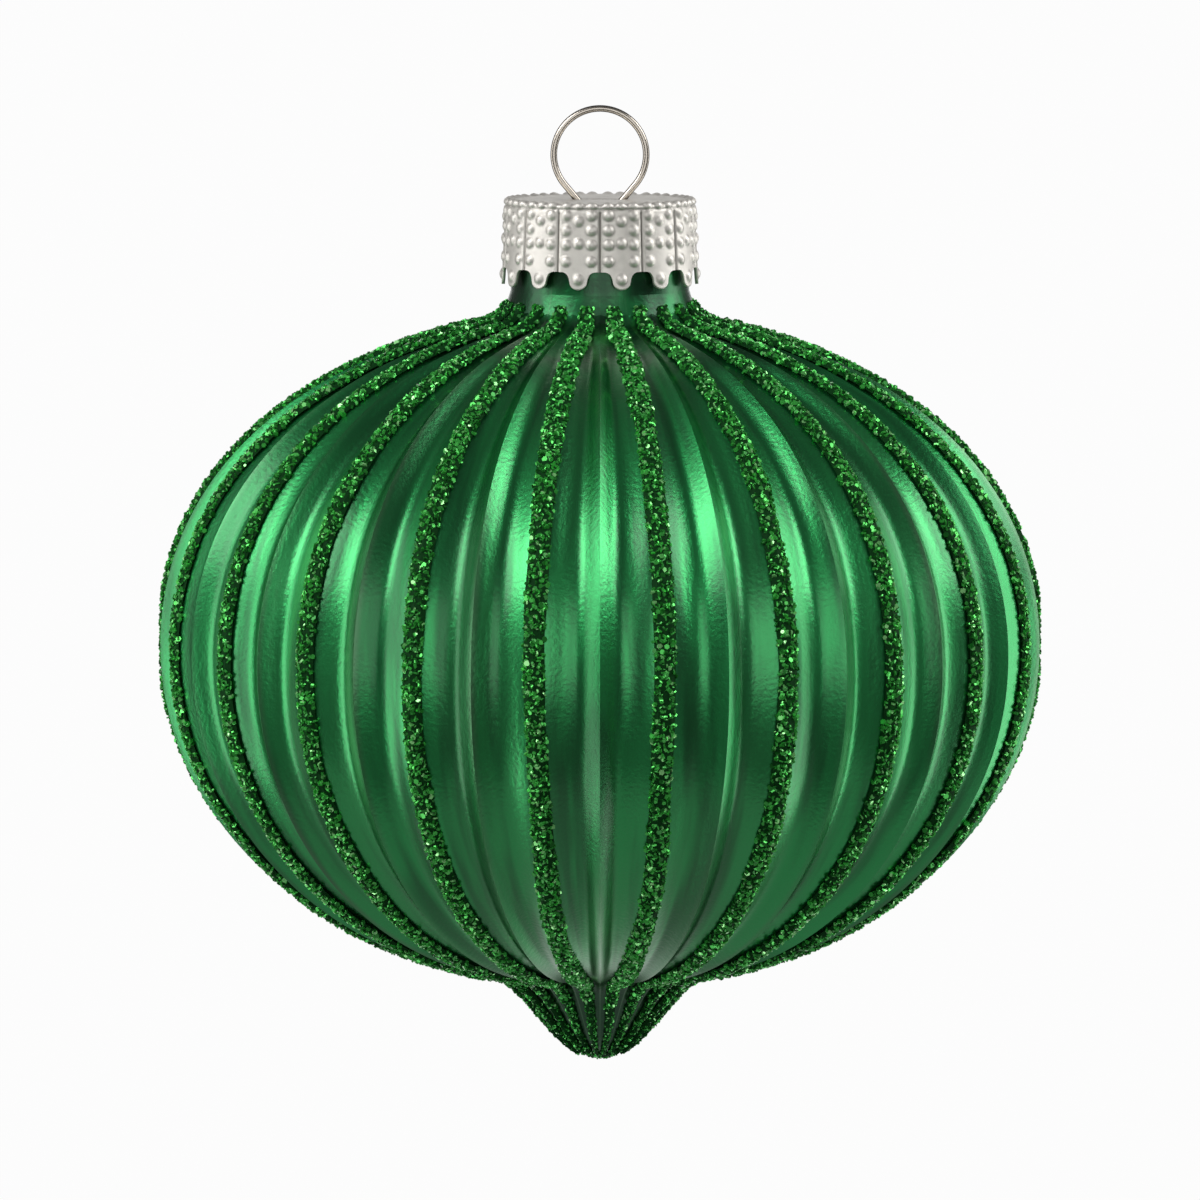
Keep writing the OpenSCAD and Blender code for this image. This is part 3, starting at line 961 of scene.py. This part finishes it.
def lacquer_group():
    """Shader group: satin lacquer with streaks along the ridges, worn thin on their crests."""
    tree = Tree(
        "Streaked Lacquer",
        "ShaderNodeTree",
        {"Vector": ["Position"], "Float": ["Ridge"], "Color": ["Lacquer", "Deep", "Worn"]},
        {"Color": ["Colour"], "Float": ["Roughness"], "Vector": ["Normal"]},
    )
    given = tree.given
    x, y, z = tree.split(given["Position"])
    reach = tree.math("ADD", tree.off_axis(x, y), AXIS_GAP)
    round_x, round_y = (
        tree.math("MULTIPLY", tree.math("DIVIDE", side, reach), STREAK_TURNS) for side in (x, y)
    )
    along = tree.join(round_x, round_y, tree.math("MULTIPLY", z, STREAK_STRETCH))
    streaks = tree.noise(along, STREAK_SCALE, FINE_DETAIL)
    patches = tree.noise(along, PATCH_SCALE)
    grain = tree.noise(given["Position"], GRAIN_SCALE)
    clouds = tree.noise(given["Position"], CLOUD_SCALE)

    # The lacquer is deeper in some streaks. The neck, in clouds, and the whole drop take the deep colour as
    # painted shade.
    streaked = tree.remap(streaks, *DEEP_STREAKS, 0.0, DEEPEST_STREAK, smooth=True)
    neck = tree.remap(z, *NECK_SHADE, 0.0, 1.0, smooth=True)
    clouded = tree.remap(clouds, *NECK_CLOUDS, LIGHTEST_CLOUD, 1.0, smooth=True)
    neck = tree.math("MULTIPLY", neck, clouded)
    drop = tree.remap(z, *DROP_SHADE, 1.0, 0.0, smooth=True)
    deep = tree.math("MAXIMUM", tree.math("MAXIMUM", streaked, neck), drop)
    colour = tree.blend(deep, given["Lacquer"], given["Deep"])

    # It is worn in patches, most of all on the crests of the ridges.
    crest = tree.remap(given["Ridge"], *CRESTS, 0.0, 1.0, smooth=True)
    crest = tree.math("MULTIPLY", crest, tree.math("SUBTRACT", 1.0, neck))
    bare = tree.remap(patches, *BARE_PATCHES, 0.0, 1.0, smooth=True)
    thin = tree.math("MULTIPLY", bare, tree.math("MULTIPLY_ADD", crest, CREST_WEAR, PLAIN_WEAR))
    tree.feed(tree.made["Colour"], tree.blend(thin, colour, given["Worn"]))
    tree.feed(tree.made["Roughness"], tree.remap(streaks, *SATIN_STREAKS, *SATIN))
    wide = tree.remap(reach, *RELIEF_REACH, 0.0, STREAK_RELIEF)
    relief = tree.math("ADD", grain, tree.math("MULTIPLY", streaks, wide))
    values = {"Strength": RELIEF_STRENGTH, "Distance": RELIEF_DEPTH, "Height": relief}
    tree.feed(tree.made["Normal"], tree.add("ShaderNodeBump", values).outputs["Normal"])
    return tree.tree


def metal_group():
    """Shader group: bright sheet or wire with a stain in patches and painted shade in the creases, built
    once.
    """
    name = "Stained Metal"
    if name in bpy.data.node_groups:
        return bpy.data.node_groups[name]
    tree = Tree(
        name,
        "ShaderNodeTree",
        {"Vector": ["Position"], "Float": ["Crease", "Blur"], "Color": ["Metal", "Stain"]},
        {"Color": ["Colour"], "Float": ["Roughness"]},
    )
    given = tree.given
    patches = tree.noise(given["Position"], STAIN_SCALE, FINE_DETAIL)
    stain = tree.remap(patches, *STAINED_PATCHES, 0.0, MOST_STAIN, smooth=True)
    # The creases take the stain colour as painted shade.
    stain = tree.math("MAXIMUM", stain, given["Crease"])
    tree.feed(tree.made["Colour"], tree.blend(stain, given["Metal"], given["Stain"]))
    tree.feed(tree.made["Roughness"], tree.math("MULTIPLY_ADD", patches, BLUR_SPREAD, given["Blur"]))
    return tree.tree


MIDDLE_TONES = (0.1, 0.6)
LIGHT_TONES = (0.87, 0.98)


def flake_group():
    """Shader group: the colour of a flake from its random tone."""
    tree = Tree(
        "Flake Tone",
        "ShaderNodeTree",
        {"Float": ["Tone"], "Color": ["Dark", "Middle", "Light"]},
        {"Color": ["Colour"]},
    )
    given = tree.given
    low = tree.remap(given["Tone"], *MIDDLE_TONES, 0.0, 1.0)
    high = tree.remap(given["Tone"], *LIGHT_TONES, 0.0, 1.0)
    colour = tree.blend(low, given["Dark"], given["Middle"])
    tree.feed(tree.made["Colour"], tree.blend(high, colour, given["Light"]))
    return tree.tree


def rgba(value):
    """A stored colour with full opacity."""
    return (value[0], value[1], value[2], 1.0)


def blank_material(name):
    """An empty material and the builder of its nodes."""
    material = bpy.data.materials.new(name)
    material.use_nodes = True
    material.node_tree.nodes.clear()
    return material, Nodes(material.node_tree)


def new_material(name, **inputs):
    """A material with one Principled shader, its node builder and that shader."""
    material, nodes = blank_material(name)
    values = {key.replace("_", " "): value for key, value in inputs.items()}
    shader = nodes.add("ShaderNodeBsdfPrincipled", values)
    nodes.add("ShaderNodeOutputMaterial", {"Surface": shader.outputs[0]})
    return material, nodes, shader


def grouped(nodes, group, shader, values):
    """Adds a shader group to a material and links its outputs to the shader."""
    node = nodes.add("ShaderNodeGroup", values, node_tree=group)
    targets = {"Colour": "Base Color", "Roughness": "Roughness", "Normal": "Normal"}
    for output in node.outputs:
        nodes.feed(shader.inputs[targets[output.name]], output)


def object_position(nodes):
    """Object coordinates."""
    return nodes.add("ShaderNodeTexCoord").outputs["Object"]


def attribute(nodes, name):
    """The value of a stored attribute."""
    return nodes.add("ShaderNodeAttribute", attribute_name=name).outputs["Fac"]


def glass_material():
    """Satin green lacquer over glass."""
    glass = settings("glass")
    material, nodes, shader = new_material(
        "Green Lacquer",
        Metallic=0.9,
        Transmission_Weight=0.0,
        Coat_Weight=0.6,
        Coat_Roughness=0.25,
        Coat_IOR=1.6,
    )
    values = {
        "Position": object_position(nodes),
        "Ridge": attribute(nodes, "ridge"),
        "Lacquer": rgba(glass.lacquer),
        "Deep": rgba(glass.deep_lacquer_and_shade),
        "Worn": rgba(glass.lacquer_worn),
    }
    grouped(nodes, lacquer_group(), shader, values)
    return material


def glitter_materials():
    """Dark green glue and bright green flakes."""
    glitter = settings("glitter")
    glue, _, shader = new_material("Glitter Glue", Roughness=0.7, Specular_IOR_Level=0.12)
    shader.inputs["Base Color"].default_value = rgba(glitter.glue)
    flakes, nodes, shader = new_material("Glitter Flakes", Metallic=0.5, Roughness=0.14)
    values = {
        "Tone": attribute(nodes, "tone"),
        "Dark": rgba(glitter.flake_dark),
        "Middle": rgba(glitter.flake_mid),
        "Light": rgba(glitter.flake_light),
    }
    grouped(nodes, flake_group(), shader, values)
    return glue, flakes


def metal_material(name, metallic, blur, metal, stain):
    """Bright metal of the cap or the wire."""
    material, nodes, shader = new_material(name, Metallic=metallic)
    values = {
        "Position": object_position(nodes),
        "Crease": attribute(nodes, "crease"),
        "Metal": rgba(metal),
        "Stain": rgba(stain),
        "Blur": blur,
    }
    grouped(nodes, metal_group(), shader, values)
    return material, nodes, shader


SIDE_SHADE_EDGE = 0.45
BRIGHT_EDGE = 0.82


def wire_material():
    """Drawn wire with painted shade along the inner and the outer side of its loop."""
    hanger = settings("hanger")
    material, nodes, shader = metal_material(
        "Wire Metal", metallic=1.0, blur=0.20, metal=hanger.metal, stain=hanger.stain
    )
    colour = shader.inputs["Base Color"].links[0].from_socket
    # Sides that face away from the front and the back get the dark tint as painted shade.
    side_shade = nodes.remap(attribute(nodes, "front"), SIDE_SHADE_EDGE, BRIGHT_EDGE, 1.0, 0.0, smooth=True)
    nodes.feed(shader.inputs["Base Color"], nodes.blend(side_shade, colour, rgba(hanger.side_shade)))
    return material


def lodge(piece, body, slot, *nodes):
    """Ties a finished piece to its body and hides the nodes that it stands for. The slot is not used."""
    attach(piece, body)
    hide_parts(*nodes)


class DROP_OT_glass(bpy.types.Operator):
    """Build the ridged glass shell"""

    bl_idname = "drop.glass"
    bl_label = "Glass"

    def execute(self, context):
        glass = settings("glass")
        outline = curve_of("outline", [outline_knots(), inner_knots()])
        values = {
            "Outline": outline,
            "Ridges": len(LINE_NODES),
            "Pitch Points": glass.pitch_points,
            "Rings": glass.rings,
            "Inner Rings": glass.inner_rings,
            "Ridge Height": glass.ridge,
            "Full Radius": glass.ridge_full,
            "Dip Depth": glass.dip,
            "Dip Share": glass.dip_share,
            "Sharpness": glass.sharpness,
            "Fade Low": TIP_Z + glass.shoulder - RIDGE_FADE,
            "Fade High": TIP_Z + glass.shoulder + RIDGE_FADE,
            "Front": FRONT_ANGLE,
            "Surface": glass_material(),
        }
        shell = grown("glass_shell", ridged_shell(), values)
        discard(outline)
        shell.data.set_sharp_from_angle(angle=math.radians(CREST_ANGLE))
        lodge(shell, "glass", "glass", "glass_body")
        return {"FINISHED"}


class DROP_OT_glitter(bpy.types.Operator):
    """Build the glitter beads and the dab on the tip"""

    bl_idname = "drop.glitter"
    bl_label = "Glitter"

    def execute(self, context):
        glitter = settings("glitter")
        glue, flakes = glitter_materials()
        tree = flake_bed()
        values = {
            "Flake Size": glitter.flake,
            "Flake Thickness": glitter.flake_thickness,
            "Density": glitter.density / MM ** 2,
            "Tilt": glitter.tilt,
            "Glue": glue,
            "Flakes": flakes,
        }
        for index, node in enumerate(LINE_NODES):
            values["Seed"] = index + 1
            bead = grown(node.replace("glitter_line", "bead"), tree, values, bead_mesh(index))
            lodge(bead, "glass", "glitter", node)
        values["Seed"] = len(LINE_NODES) + 1
        dab = grown("tip_dab", tree, values, dab_mesh())
        lodge(dab, "glass", "glitter", "glitter_tip")
        return {"FINISHED"}


class DROP_OT_cap(bpy.types.Operator):
    """Build the stamped crown cap"""

    bl_idname = "drop.cap"
    bl_label = "Cap"

    def execute(self, context):
        cap = settings("cap")
        centres = placed("bump_centres", mesh_of("bump_centres", bump_centres(), []))
        surface, _, _ = metal_material(
            "Cap Metal", metallic=0.7, blur=0.44, metal=cap.metal, stain=cap.stain_and_crease_shade
        )
        values = {
            "Centres": centres,
            "Bump Radius": cap.bump_radius,
            "Bump Height": cap.bump_height,
            "Surface": surface,
        }
        sheet = grown("crown_cap", stamped_bumps(), values, cap_sheet())
        discard(centres)
        wall = sheet.modifiers.new("Sheet", "SOLIDIFY")
        wall.thickness = cap.sheet
        wall.offset = -1.0
        settle(sheet)
        lodge(sheet, "cap", "cap", "cap_shell")
        return {"FINISHED"}


class DROP_OT_hanger(bpy.types.Operator):
    """Build the wire loop with its two legs"""

    bl_idname = "drop.hanger"
    bl_label = "Hanger"

    def execute(self, context):
        hanger = settings("hanger")
        path = wire_path()
        values = {
            "Path": path,
            "Radius": hanger.wire / 2,
            "Sides": WIRE_SIDES,
            "Surface": wire_material(),
        }
        wire = grown("wire_loop", drawn_wire(), values)
        discard(path)
        lodge(wire, "hanger", "wire", "hanger_wire")
        return {"FINISHED"}


FLOOR_WHITE = 0.97
FLOOR_FRONT = -0.6
FLOOR_BACK = 1.8
WALL_BEND = 0.4
WALL_STEPS = 12
WALL_TOP = 1.8
BACKDROP_HALF = 0.85
GREY_EDGE = 0.30
WHITE_EDGE = 0.75
LAMP_DISTANCE = 0.8
# Softboxes: name, azimuth to the right of the camera, elevation, width, height and radiance.
SOFTBOXES = (
    ("left_softbox", -84, 0, 0.44, 1.40, 1.6),
    ("left_key", -56, 38, 0.44, 0.46, 3.6),
    ("right_softbox", 104, 0, 0.44, 1.40, 1.7),
    ("right_key", 78, 34, 0.36, 0.46, 3.6),
    ("front_fill", 4, 8, 0.70, 0.50, 1.0),
)
WORLD_LEVEL = 0.09


def floor_material():
    """Graduated paper, grey in front and nearly white behind the object, that keeps a faint shadow."""
    stage = settings("stage")
    material, nodes = blank_material("Pale Floor")
    _, depth, _ = nodes.split(object_position(nodes))
    rising = nodes.remap(depth, GREY_EDGE, WHITE_EDGE, 0.0, 1.0, smooth=True)
    paper = nodes.blend(rising, rgba(stage.front), rgba(stage.floor))
    glow = nodes.blend(rising, rgba(stage.front), (1.0, 1.0, 1.0, 1.0))
    shade = nodes.add("ShaderNodeBsdfDiffuse", {"Color": paper})
    white = nodes.add("ShaderNodeEmission", {"Color": glow, "Strength": 1.0})
    path = nodes.add("ShaderNodeLightPath").outputs
    seen = nodes.math("MAXIMUM", path["Is Camera Ray"], path["Is Glossy Ray"])
    seen = nodes.math("MAXIMUM", seen, path["Is Transmission Ray"])
    share = nodes.math("MULTIPLY", seen, FLOOR_WHITE)
    mixed = nodes.add("ShaderNodeMixShader", {0: share, 1: shade.outputs[0], 2: white.outputs[0]})
    nodes.add("ShaderNodeOutputMaterial", {"Surface": mixed.outputs[0]})
    return material


def backdrop_mesh(level):
    """A floor under and behind the object that bends up into a wall."""
    profile = [(FLOOR_FRONT, level)]
    for step in range(WALL_STEPS + 1):
        turn = math.pi / 2 * step / WALL_STEPS
        profile.append((FLOOR_BACK + WALL_BEND * math.sin(turn), level + WALL_BEND * (1.0 - math.cos(turn))))
    profile.append((FLOOR_BACK + WALL_BEND, level + WALL_TOP))
    points = [(side * BACKDROP_HALF, y, z) for y, z in profile for side in (-1, 1)]
    faces = [(2 * k, 2 * k + 1, 2 * k + 3, 2 * k + 2) for k in range(len(profile) - 1)]
    mesh = mesh_of("backdrop", points, faces)
    mesh.shade_smooth()
    return mesh


def softbox(name, azimuth, elevation, width, height, radiance, aim):
    """A soft area lamp that looks at a point."""
    lamp = bpy.data.lights.new(name, "AREA")
    lamp.shape = "RECTANGLE"
    lamp.size = width
    lamp.size_y = height
    lamp.energy = math.pi * width * height * radiance
    across = math.radians(azimuth)
    rise = math.radians(elevation)
    heading = Vector((math.sin(across) * math.cos(rise), -math.cos(across) * math.cos(rise), math.sin(rise)))
    piece = placed(name, lamp)
    piece.location = aim + heading * LAMP_DISTANCE
    piece.rotation_euler = heading.to_track_quat("Z", "Y").to_euler()


class DROP_OT_stage(bpy.types.Operator):
    """Build the camera, the lamps and the floor"""

    bl_idname = "drop.stage"
    bl_label = "Stage"

    def execute(self, context):
        stage = settings("stage")
        scene = context.scene
        scene.view_settings.view_transform = "Standard"
        aim = Vector((0.0, 0.0, stage.aim))
        low = math.cos(stage.elevation) * stage.distance
        high = math.sin(stage.elevation) * stage.distance
        camera = bpy.data.cameras.new("camera")
        camera.sensor_width = 36.0
        camera.lens = camera.sensor_width * stage.distance / stage.frame_width
        camera.clip_start = 0.05
        view = placed("camera", camera)
        view.location = aim + Vector((0.0, -low, high))
        view.rotation_euler = (aim - view.location).to_track_quat("-Z", "Y").to_euler()
        scene.camera = view
        floor = placed("backdrop", backdrop_mesh(TIP_Z - stage.floor_drop))
        floor.data.materials.append(floor_material())
        for lamp in SOFTBOXES:
            softbox(*lamp, aim)
        world = bpy.data.worlds.new("Studio")
        world.use_nodes = True
        sky = world.node_tree.nodes["Background"].inputs
        sky["Color"].default_value = (1.0, 1.0, 1.0, 1.0)
        sky["Strength"].default_value = WORLD_LEVEL
        scene.world = world
        return {"FINISHED"}


class DROP_PT_panel(bpy.types.Panel):
    """Lists the operators and settings of the drop"""

    bl_idname = "DROP_PT_panel"
    bl_label = "Glass Drop"
    bl_space_type = "VIEW_3D"
    bl_region_type = "UI"
    bl_category = "Glass Drop"

    def draw(self, context):
        for part, group in SETTINGS.items():
            box = self.layout.box()
            box.operator("drop." + part)
            for key in group.__annotations__:
                box.prop(settings(part), key)


SETTINGS = {
    "glass": GlassSettings,
    "glitter": GlitterSettings,
    "cap": CapSettings,
    "hanger": HangerSettings,
    "stage": StageSettings,
}
CLASSES = (
    *SETTINGS.values(),
    DROP_OT_glass,
    DROP_OT_glitter,
    DROP_OT_cap,
    DROP_OT_hanger,
    DROP_OT_stage,
    DROP_PT_panel,
)


def register():
    """Registers the classes and the settings on the scene."""
    for item in CLASSES:
        bpy.utils.register_class(item)
    for part, group in SETTINGS.items():
        setattr(bpy.types.Scene, "drop_" + part, bpy.props.PointerProperty(type=group))


def unregister():
    """Removes what register added."""
    for part in SETTINGS:
        delattr(bpy.types.Scene, "drop_" + part)
    for item in reversed(CLASSES):
        bpy.utils.unregister_class(item)


def main():
    """Builds every piece and the stage."""
    register()
    for part in SETTINGS:
        getattr(bpy.ops.drop, part)()


if __name__ == "__main__":
    main()
